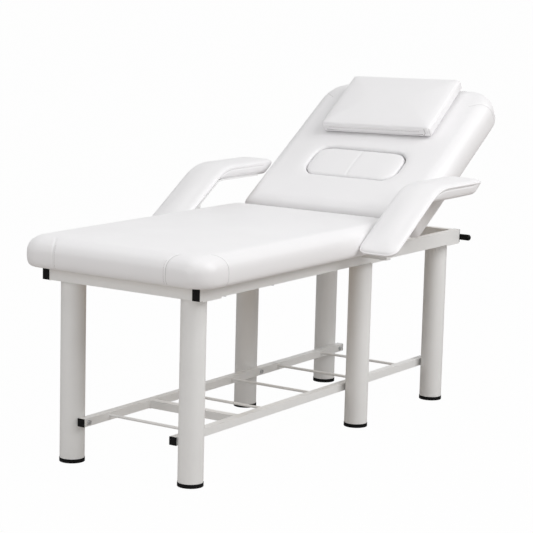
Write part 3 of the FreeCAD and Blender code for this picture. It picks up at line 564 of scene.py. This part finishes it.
def repeatTree(name, bead):
    # Geometry Nodes that set a small bar along the drawn lines: stitches, staples or weld ripples.
    tree = bpy.data.node_groups.new(name, "GeometryNodeTree")
    tree.interface.new_socket(name="Geometry", in_out="INPUT", socket_type="NodeSocketGeometry")
    for label in ("Spacing", "Length", "Thickness"):
        tree.interface.new_socket(name=label, in_out="INPUT", socket_type="NodeSocketFloat")
    tree.interface.new_socket(name="Finish", in_out="INPUT", socket_type="NodeSocketMaterial")
    tree.interface.new_socket(name="Geometry", in_out="OUTPUT", socket_type="NodeSocketGeometry")
    entry = addNode(tree, "NodeGroupInput")
    line = addNode(tree, "GeometryNodeMeshToCurve", None, Mesh=entry.outputs["Geometry"])
    marks = addNode(tree, "GeometryNodeResampleCurve", {"mode": "LENGTH"}, Curve=line.outputs["Curve"],
                    Length=entry.outputs["Spacing"])
    half = addNode(tree, "ShaderNodeMath", {"operation": "MULTIPLY"}, at0=entry.outputs["Thickness"])
    half.inputs[1].default_value = 0.5
    if bead:
        bar = addNode(tree, "GeometryNodeMeshUVSphere", {"Segments": 8, "Rings": 5},
                      Radius=half.outputs[0])
    else:
        bar = addNode(tree, "GeometryNodeMeshCylinder", {"Vertices": 6}, Radius=half.outputs[0],
                      Depth=entry.outputs["Length"])
    heading = addNode(tree, "GeometryNodeInputTangent")
    turn = addNode(tree, "FunctionNodeAlignRotationToVector", {"axis": "Z"},
                   Vector=heading.outputs["Tangent"])
    row = addNode(tree, "GeometryNodeInstanceOnPoints", None, Points=marks.outputs["Curve"],
                  Instance=bar.outputs["Mesh"], Rotation=turn.outputs["Rotation"])
    solid = addNode(tree, "GeometryNodeRealizeInstances", None, Geometry=row.outputs["Instances"])
    painted = addNode(tree, "GeometryNodeSetMaterial", None, Geometry=solid.outputs["Geometry"],
                      Material=entry.outputs["Finish"])
    addNode(tree, "NodeGroupOutput", None, Geometry=painted.outputs["Geometry"])
    return tree


stitchTree = repeatTree("stitch row", False)
weldTree = repeatTree("weld bead", True)


def repeatAlong(name, lines, tree, sizes, material, body):
    # Sets small bars along lines of points, as one plain mesh.
    points, edges = [], []
    for line in lines:
        first = len(points)
        points += line
        edges += [(i, i + 1) for i in range(first, len(points) - 1)]
    mesh = bpy.data.meshes.new(name)
    mesh.from_pydata(points, edges, [])
    piece = bpy.data.objects.new(name, mesh)
    scene.collection.objects.link(piece)
    maker = piece.modifiers.new("rows", "NODES")
    maker.node_group = tree
    named = {item.name: item.identifier for item in tree.interface.items_tree if item.in_out == "INPUT"}
    for label, value in zip(("Spacing", "Length", "Thickness"), sizes):
        maker[named[label]] = value * mm
    maker[named["Finish"]] = material
    settle(piece)
    for face in piece.data.polygons:
        face.use_smooth = True
    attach(piece, body)


def besideSeam(tree, line, gap, lift=0.25):
    # A line of points that runs beside a seam on the cover, gap mm to its left.
    row = []
    for (before, up), (after, _) in zip(line, line[1:]):
        side = up.cross(after - before)
        if side.length > 1e-9:
            hit = tree.find_nearest(before + side.normalized() * gap * mm)
            row.append(hit[0] + hit[1] * lift * mm)
    return row


stitch = {"spacing": 4.2, "length": 3.0, "thickness": 0.8}
stitchSizes = (stitch["spacing"], stitch["length"], stitch["thickness"])
staple = {"spacing": 36, "length": 11, "thickness": 1.2, "inset": 27, "lift": 0.2}
stapleSizes = (staple["spacing"], staple["length"], staple["thickness"])


def stapleRows(tree, plan, place, below, runs):
    # Rows on the underside of a cover's rim, along its two sides and across one end.
    rows = []
    reach = plan["half"] - staple["inset"]
    end, corner = runs["end"], runs["corner"]
    lines = [[(along, side * reach) for along in runs["side"]] for side in (-1, 1)]
    lines.append([(end, -reach + corner), (end, reach - corner)])
    for line in lines:
        points = [place(along, across, below) for along, across in line]
        rows.append([point + normal * staple["lift"] * mm for point, normal in laidOn(tree, points)])
    return rows


# Seat pad: foam on a board, with a sewn panel round each foot corner
seat = {"plan": {"start": -119, "end": 1017, "half": 344, "startCorner": 72, "endCorner": 40},
        "base": 605, "top": 691, "hang": 5.5, "lowRound": 27, "tuck": 15, "highRound": 46, "crown": 7,
        "voxel": 8.5, "smoothing": 4, "pressure": 5, "frames": 12, "cap": 3, "tackedBelow": 618, "fill": 0.9,
        "liftRun": 190, "liftGap": 0.5, "panelOnSide": 117, "panelOnEnd": 137,
        "sideSeam": ((-26, 44, 699), (-8, 22, 690), (0, 0, 668), (1, 0, 640), (0, 6, 606)),
        "endSeam": ((34, -18, 698), (20, -7, 690), (0, 0, 668), (0, 1, 640), (6, 0, 606)),
        "seamShadeStrengths": (1.0, 1.0, 0.6, 0.25), "stitchGap": 7, "stitchSkip": 20,
        "staples": {"side": (-40, 800), "end": -92, "corner": 60, "below": 12}}


def makeSeat(pad):
    plan = pad["plan"]
    cover = padShell("seat_cover", plan, edgeProfile(pad), flatPlace)
    liftRim(cover, plan["end"], pad["liftRun"], pad["base"] - pad["liftGap"],
            lambda point: (point.x / mm + footToMiddle, point.z / mm), Vector((0, 0, 1)))
    voxelSkin(cover, pad["voxel"], pad["smoothing"])
    inflate(cover, pad, lambda point: point.z < pad["tackedBelow"] * mm)
    subdivide(cover)
    seams = panelSeams(surfaceOf(cover), pad, flatPlace, plan["start"], 1)
    # Painted shade along the seams, full on the near side and lighter on the far side.
    sewSeams(cover, seams, shadeStrengths=pad["seamShadeStrengths"])
    dress(cover, vinyl, "base", ["seat_cushion"])
    tree = surfaceOf(cover)
    gap, skip = pad["stitchGap"], pad["stitchSkip"]
    rows = [besideSeam(tree, seams[1], -gap)[skip:], besideSeam(tree, seams[3], gap)[skip:]]
    repeatAlong("seat_stitches", rows, stitchTree, stitchSizes, thread, "base")
    rows = stapleRows(tree, plan, flatPlace, pad["base"] - pad["staples"]["below"], pad["staples"])
    repeatAlong("seat_staples", rows, stitchTree, stapleSizes, steel, "base")


makeSeat(seat)
print("seat cover ready")

# Back pad: foam on a board with a face hole, and a sewn panel round each top corner
back = {"plan": {"start": 13, "end": 727, "half": 344.5, "startCorner": 18, "endCorner": 106},
        "base": -6, "top": 88, "hang": 6, "lowRound": 20, "tuck": 9, "highRound": 46, "crown": 7,
        "voxel": 7.5, "smoothing": 4, "pressure": 5, "frames": 12, "cap": 3, "fill": 0.9,
        "tackedBelow": 12, "tackedRound": 14, "liftRun": 190, "liftGap": 0.5,
        "panelOnSide": 84, "panelOnEnd": 120, "seamDepth": 1.0, "stitchGap": 7,
        "sideSeam": ((-34, 66, 92), (-10, 30, 86), (0, 0, 60), (0, 0, 24), (0, 6, -4)),
        "endSeam": ((-60, 26, 92), (-26, 8, 86), (0, 0, 60), (0, 0, 24), (-6, 0, -4)),
        "staples": {"side": (170, 620), "end": 700, "corner": 80, "below": 14}}
hole = {"start": 179.5, "end": 332.5, "half": 180.5, "startCorner": 52, "endCorner": 52}
holeReach = (-60, 160)  # heights between which the hole is cut, mm


def heightOverBack(point):
    # How far a point stands over the hinge line, square to the back, in mm.
    reach = point - hingeAxis
    return (reach.z * math.cos(backTilt) - reach.x * math.sin(backTilt)) / mm


def distanceUpBack(point):
    # How far a point lies up the back from the hinge, in mm.
    reach = point - hingeAxis
    return (reach.x * math.cos(backTilt) + reach.z * math.sin(backTilt)) / mm


def makeBack(pad):
    plan = pad["plan"]
    cover = padShell("back_cover", plan, edgeProfile(pad), backPlace)
    out = Vector((-math.sin(backTilt), 0, math.cos(backTilt)))
    liftRim(cover, plan["start"], pad["liftRun"], pad["base"] - pad["liftGap"],
            lambda point: (distanceUpBack(point), heightOverBack(point)), out)
    prism = padShell("face_hole", hole, [(0, height) for height in holeReach], backPlace)
    through = cover.modifiers.new("hole", "BOOLEAN")
    through.operation = "DIFFERENCE"
    through.solver = "EXACT"
    through.object = prism
    settle(cover)
    bpy.data.objects.remove(prism)
    voxelSkin(cover, pad["voxel"], pad["smoothing"])
    lip = indexOf([backPlace(along, across, 0) for along, across in roundedLoop(hole, 0, (40, 16))])

    def held(point):
        height = heightOverBack(point)
        onHinge = point - out * (height * mm)
        return height < pad["tackedBelow"] or lip.find(onHinge)[2] < pad["tackedRound"] * mm

    inflate(cover, pad, held)
    subdivide(cover)
    seams = panelSeams(surfaceOf(cover), pad, backPlace, plan["end"], -1)
    # The seams darken the vinyl with painted shade along their grooves.
    sewSeams(cover, seams, depth=pad["seamDepth"])
    dress(cover, vinyl, "backrest", ["back_cushion"])
    tree = surfaceOf(cover)
    gap = pad["stitchGap"]
    rows = [besideSeam(tree, seams[1], gap), besideSeam(tree, seams[3], -gap)]
    repeatAlong("back_stitches", rows, stitchTree, stitchSizes, thread, "backrest")
    rows = stapleRows(tree, plan, backPlace, pad["base"] - pad["staples"]["below"], pad["staples"])
    repeatAlong("back_staples", rows, stitchTree, stapleSizes, steel, "backrest")


makeBack(back)
print("back cover ready")

# Plug of the face hole: a loose pad with a crease down its middle
plug = {"plan": {"start": 180.8, "end": 327.4, "half": 177.4, "startCorner": 49, "endCorner": 49},
        "base": 11.5, "top": 94, "lowRound": 3, "highRound": 7, "crown": 3.5, "voxel": 5, "smoothing": 3,
        "pressure": 4, "frames": 12, "cap": 1.2, "tackedUnderTop": 12, "fill": 0.9, "sink": 4.0,
        "creaseEnds": 8, "creaseLevel": 100}


def plugPlace(along, across, height):
    # A point of the plug, which sits a little low at its upper edge.
    share = (along - hole["start"]) / (hole["end"] - hole["start"])
    return backPlace(along, across, height - plug["sink"] * share)


def makePlug(pad):
    plan, base, top, low, high = pad["plan"], pad["base"], pad["top"], pad["lowRound"], pad["highRound"]
    width = (plan["end"] - plan["start"]) / 2
    profile = [(width - ringGap, base), (low, base), (0, base + low), (0, top - high)]
    profile += [(high - high * math.cos(a), top - high + high * math.sin(a)) for a in quarter(5)[1:]]
    profile += [(high + (width - ringGap - high) * k / 5, top + pad["crown"] * (1 - (1 - k / 5) ** 2))
                for k in range(1, 6)]
    cover = padShell("plug_cover", plan, profile, plugPlace)
    voxelSkin(cover, pad["voxel"], pad["smoothing"])
    inflate(cover, pad, lambda point: heightOverBack(point) < top - pad["tackedUnderTop"])
    subdivide(cover)
    ends = (plan["start"] + pad["creaseEnds"], plan["end"] - pad["creaseEnds"])
    crease = laidOn(surfaceOf(cover), [backPlace(along, 0, pad["creaseLevel"]) for along in ends])
    # The crease is pressed in and darkened slightly with painted shade.
    sewSeams(cover, [crease], depth=1.2, reach=9.0, shadeWidth=0.6)
    dress(cover, vinyl, "plug", ["plug_cushion"])


makePlug(plug)
print("plug ready")

# Pillow: a box cushion with a zip placket along its lower wall
pillow = {"plan": {"start": 405, "end": 692, "half": 215, "startCorner": 10, "endCorner": 10}, "shift": -7,
          "askew": math.radians(2.0), "base": 97.6, "top": 139, "edge": 9, "lowEdge": 11, "crown": 9,
          "voxel": 5, "smoothing": 2, "pressure": 5, "frames": 12, "cap": 3, "fill": 0.7, "seamIn": 3,
          "placket": (113, 127), "placketEnds": (-184, 196), "placketSteps": 60, "openingDrop": 1.5,
          "fold": -193, "castFrom": 30, "stitchDrop": 2.4, "stitchLift": 1.5,
          "seamShadeStrengths": (0.1, 0.5, 0.5, 0.5, 0.4, 0.4, 1.3, 0.9)}


def pillowPlace(along, across, height):
    # A point of the pillow, which lies a little askew on the back.
    middle = (pillow["plan"]["start"] + pillow["plan"]["end"]) / 2
    turn, reach = pillow["askew"], along - middle
    return backPlace(middle + reach * math.cos(turn) - across * math.sin(turn),
                     pillow["shift"] + across * math.cos(turn) + reach * math.sin(turn), height)


def makePillow(pad):
    plan, base, top, edge, low = pad["plan"], pad["base"], pad["top"], pad["edge"], pad["lowEdge"]
    width, inside = (plan["end"] - plan["start"]) / 2, pad["seamIn"]
    profile = [(width - ringGap, base)]
    profile += [(low - low * math.sin(a), base + low - low * math.cos(a)) for a in quarter(4)]
    profile += [(edge - edge * math.cos(a), top - edge + edge * math.sin(a)) for a in quarter(4)]
    profile += [(edge + (width - ringGap - edge) * k / 6, top + pad["crown"] * (1 - (1 - k / 6) ** 2))
                for k in range(1, 7)]
    cover = padShell("pillow_cover", plan, profile, pillowPlace, (24, 16))
    voxelSkin(cover, pad["voxel"], pad["smoothing"])
    inflate(cover, pad, lambda point: heightOverBack(point) < base + inside)
    subdivide(cover)
    # Rings round the top and the bottom, corner seams, the zip's opening and a fold at its end, each pressed
    # in and darkened with painted shade; the opening line is painted shadow under the flap's lower edge, the
    # darkest of them.
    around = roundedLoop(plan, inside / 2, (30, 20))
    lines = [[(along, across, height) for along, across in around + around[:1]]
             for height in (top - inside, base + inside)]
    lines += [[(along, side * (plan["half"] - inside), height) for height in (base + inside, top - inside)]
              for along in (plan["start"] + inside, plan["end"] - inside) for side in (-1, 1)]
    front, opening = plan["start"], pad["placket"][0] - pad["openingDrop"]
    lines.append([(front, across, opening) for across in pad["placketEnds"]])
    lines.append([(front, pad["fold"], top - 4), (front, pad["fold"] - 2, opening + 6),
                  (front, pad["fold"] + 9, base + 4)])
    tree = surfaceOf(cover)
    seams = [laidOn(tree, [pillowPlace(*at) for at in line]) for line in lines]
    sewSeams(cover, seams, depth=1.2, reach=6.0, shadeWidth=2.4, shadeStrengths=pad["seamShadeStrengths"])
    dress(cover, vinyl, "pillow", ["pillow"])
    makePlacket(pad, surfaceOf(cover))


def makePlacket(pad, tree):
    # The flap over the zip: a thin strip that stands a little proud of the wall, free along its lower edge.
    low, high = pad["placket"]
    left, right = pad["placketEnds"]
    # Height on the wall and how far the strip stands off it.
    section = [(high, 0.1), (high - 0.6, 1.0), (low + 1, 3.4), (low, 3.2), (low, 1.8), (low + 1.5, -0.6),
               (high - 1, -0.6)]
    steps = pad["placketSteps"]
    out = Vector((-math.cos(backTilt), 0, -math.sin(backTilt)))

    def onWall(k, height):
        across = left + (right - left) * k / steps
        return tree.ray_cast(pillowPlace(pad["plan"]["start"] - pad["castFrom"], across, height), -out)[0]

    work = bmesh.new()
    rings = []
    for k in range(steps + 1):
        ends = min(1.0, 6 * min(k, steps - k) / steps)
        rings.append([work.verts.new(onWall(k, height) + out * lift * ends * mm)
                      for height, lift in section])
    placket = loft("pillow_placket", work, rings)
    dress(placket, vinyl, "pillow", None)
    row = [onWall(k, high - pad["stitchDrop"]) + out * pad["stitchLift"] * mm for k in range(2, steps - 1)]
    repeatAlong("pillow_stitches", [row], stitchTree, stitchSizes, thread, "pillow")


makePillow(pillow)
print("pillow ready")

# Armrests: a padded arm that rises, bends and runs level, with a piped edge
arm = {"elbow": (970, 806.5), "slopeRun": 280, "elbowRise": 185.5, "levelRun": 293, "bend": 190,
       "middle": 416, "half": 68.5, "start": 1, "overrun": 7, "corner": 33, "tipCorner": 26, "under": -36,
       "slopeDepth": 12, "tipCut": 45, "tipReach": 4, "tipLeast": 0.2, "crown": 15, "dome": 3, "round": 30,
       "voxel": 5, "smoothing": 3, "pressure": 5, "frames": 12, "cap": 2.5, "tackedRound": 6, "fill": 0.9,
       "steps": (64, 10), "seamDrop": 6, "seamStart": 30, "seamStop": 60,
       "piping": 3.4, "pipingSides": 10, "innerTuck": 4.5, "tuckRun": 40}
armSlope = math.atan2(arm["elbowRise"], arm["slopeRun"])
armBack = arm["bend"] * math.tan(armSlope / 2)
armSlopeLength = math.hypot(arm["elbowRise"], arm["slopeRun"]) - armBack
armBendLength = arm["bend"] * armSlope
armLength = armSlopeLength + armBendLength + arm["levelRun"] - armBack


def armPlace(along, across, height):
    # A point of an armrest from its distance along the piped edge, side and height square to it, in mm.
    # The wall under the piping is shallow on the slope, full on the level run and cut away at the tip.
    x, z = arm["elbow"]
    level = z + arm["under"]
    if along < armSlopeLength:
        turn = armSlope
        reach = along - armSlopeLength - armBack
        x, z = x + reach * math.cos(turn), z + reach * math.sin(turn)
    elif along < armSlopeLength + armBendLength:
        turn = armSlope - (along - armSlopeLength) / arm["bend"]
        x = x + armBack - arm["bend"] * math.sin(turn)
        z = z - arm["bend"] + arm["bend"] * math.cos(turn)
    else:
        turn = 0
        x = x + armBack + along - armSlopeLength - armBendLength
    if height < 0:
        tip = min(1.0, max(arm["tipLeast"], (armLength + arm["tipReach"] - along) / arm["tipCut"]))
        height *= tip * max(arm["slopeDepth"], (z - level) / math.cos(turn)) / -arm["under"]
    return flatPlace(x - height * math.sin(turn), across, z + height * math.cos(turn))


def makeArmrest(name, side, pad):
    plan = {"start": pad["start"], "end": armLength + pad["overrun"], "half": pad["half"],
            "startCorner": pad["corner"], "endCorner": pad["tipCorner"]}
    middle, steps = side * pad["middle"], pad["steps"]
    under, half, reach, dome = pad["under"], pad["half"], pad["round"], pad["dome"]
    shoulder = pad["crown"] - dome

    def place(along, across, height):
        return armPlace(along, across + middle, height)

    # Insets and heights: the rim turned in underneath, the wall up to the piping, and the padded top.
    profile = [(half - ringGap, under + 5), (26, under + 5), (20, under - 2.5), (12, under - 2),
               (5, under + 4), (1.5, under + 14), (0.3, -10), (0, -2)]
    profile += [(reach - reach * math.cos(a), shoulder * math.sin(a)) for a in quarter(6)[1:]]
    profile += [(reach + (half - ringGap - reach) * k / 4, shoulder + dome * (1 - (1 - k / 4) ** 2))
                for k in range(1, 5)]
    cover = padShell("armrest_cover_" + name, plan, profile, place, steps)
    voxelSkin(cover, pad["voxel"], pad["smoothing"])
    pipedEdge = roundedLoop(plan, 0, steps)
    edge = [place(along, across, 0) for along, across in pipedEdge]
    index = indexOf(edge)
    inflate(cover, pad, lambda point: index.find(point)[2] < pad["tackedRound"] * mm)
    subdivide(cover)
    tree = surfaceOf(cover)
    # The seam under the piping shows on the level run alone, on each side, pressed in and darkened with
    # painted shade under the piping.
    first, last = armSlopeLength + pad["seamStart"], armLength - pad["seamStop"]
    loop = [at for at in roundedLoop(plan, -1, steps) if first < at[0] < last]
    rows = [sorted(at for at in loop if at[1] * way > 0) for way in (-1, 1)]
    seams = [laidOn(tree, [place(along, across, -pad["seamDrop"]) for along, across in row]) for row in rows]
    sewSeams(cover, seams, depth=1.2, reach=6.0, shadeWidth=1.3)
    body = "armrest_" + name
    dress(cover, vinyl, body, ["armrest_pad_" + name])
    ring = [tree.find_nearest(point)[0] for point in edge]
    for _ in range(2):
        ring = [(ring[i - 1] + ring[i] * 2 + ring[(i + 1) % len(ring)]) / 4 for i in range(len(ring))]
    # Beside the back, the piping of the inner edge lies deeper in the cover, so that it clears the back.
    for point, (along, across) in zip(ring, pipedEdge):
        share = min(1.0, max(0.0, (along - armSlopeLength) / pad["tuckRun"]))
        point.y += side * share * pad["innerTuck"] * mm * max(0.0, -side * across / half) ** 2
    piping = closedTube("armrest_piping_" + name, ring, pad["piping"], pad["pipingSides"])
    dress(piping, vinyl, body, None)


def closedTube(name, points, radius, sides):
    # A round tube along a closed line of points, with its place in its mesh.
    work = bmesh.new()
    rings = []
    for i, point in enumerate(points):
        tangent = (points[(i + 1) % len(points)] - points[i - 1]).normalized()
        side = tangent.cross(Vector((0, 0, 1))).normalized()
        up = side.cross(tangent)
        rings.append([work.verts.new(point + (side * math.cos(a) + up * math.sin(a)) * radius * mm)
                      for a in (2 * math.pi * k / sides for k in range(sides))])
    return loft(name, work, rings, closed=True)


for sideName, sideSign in (("left", -1), ("right", 1)):
    makeArmrest(sideName, sideSign, arm)
print("armrests ready")

# Release grip: a moulded sleeve with a domed end and shallow rings
grip = {"along": 1504.5, "height": 577.0, "outerEnd": -323, "innerEnd": -220, "radius": 10.5, "dome": 8,
        "rings": 6, "ringDepth": 0.7, "ringStart": -252, "ringTop": 0.42, "ringFloor": 0.2, "margin": 4,
        "neck": 0.4, "endRound": 1.5, "sides": 32}


def makeGrip(sizes):
    outer, inner, radius, dome = sizes["outerEnd"], sizes["innerEnd"], sizes["radius"], sizes["dome"]
    start, margin, low = sizes["ringStart"], sizes["margin"], radius - sizes["ringDepth"]
    pitch = (inner - margin - start) / sizes["rings"]
    profile = [(outer + dome - dome * math.cos(a), radius - dome + dome * math.sin(a)) for a in quarter(6)]
    profile.append((start - margin, radius - sizes["neck"]))
    for ring in range(sizes["rings"]):
        middle = start + pitch * (ring + 0.5)
        wide, narrow = pitch * sizes["ringTop"], pitch * sizes["ringFloor"]
        profile += [(middle - wide, radius), (middle - narrow, low), (middle + narrow, low),
                    (middle + wide, radius)]
    profile += [(inner - sizes["endRound"], radius), (inner, radius - sizes["endRound"])]
    work = bmesh.new()
    turns = [2 * math.pi * k / sizes["sides"] for k in range(sizes["sides"])]
    rings = [[work.verts.new(flatPlace(sizes["along"] + reach * math.cos(a), across,
                                       sizes["height"] + reach * math.sin(a))) for a in turns]
             for across, reach in profile]
    sleeve = loft("release_sleeve", work, rings)
    dress(sleeve, blackPlastic, "release_lever", ["release_grip"])


makeGrip(grip)
print("grip ready")

# Weld beads where the tubes of the frame and the rack meet
weld = {"spacing": 2.0, "thickness": 4.0, "tubes": ((-62.5, -37.5), (964.5, 989.5), (1465, 1490)),
        "rail": 262.5, "railLevels": (560, 605), "rackTube": (305.5, 330.5), "rackSide": 159,
        "rackLevels": (116, 141), "rungs": (105, 478, 759, 1040, 1321), "rungLevel": 131, "rungRadius": 5.2,
        "socketBar": (823, 837), "railFace": 287.5, "barLevels": (584.75, 598.75), "shortOfTop": 3,
        "rungSteps": 24}


def tubeWeld(places, side, levels):
    # Up one face of a tube's end, under it and up the other face.
    low, high = levels[0], levels[1] - weld["shortOfTop"]
    return [flatPlace(places[0], side, high), flatPlace(places[0], side, low),
            flatPlace(places[1], side, low), flatPlace(places[1], side, high)]


def makeWelds(sizes):
    lines = []
    reach, steps = sizes["rungRadius"], sizes["rungSteps"]
    turns = [2 * math.pi * k / steps for k in range(steps + 1)]
    for sign in (-1, 1):
        for places in sizes["tubes"]:
            lines.append(tubeWeld(places, sign * sizes["rail"], sizes["railLevels"]))
        lines.append(tubeWeld(sizes["rackTube"], sign * sizes["rackSide"], sizes["rackLevels"]))
        lines.append(tubeWeld(sizes["socketBar"], sign * sizes["railFace"], sizes["barLevels"]))
        for place in sizes["rungs"]:
            lines.append([flatPlace(place + reach * math.cos(a), sign * sizes["rackSide"],
                                    sizes["rungLevel"] + reach * math.sin(a)) for a in turns])
    repeatAlong("frame_welds", lines, weldTree, (sizes["spacing"], sizes["spacing"], sizes["thickness"]),
                whiteEnamel, "base")


makeWelds(weld)
print("welds ready")
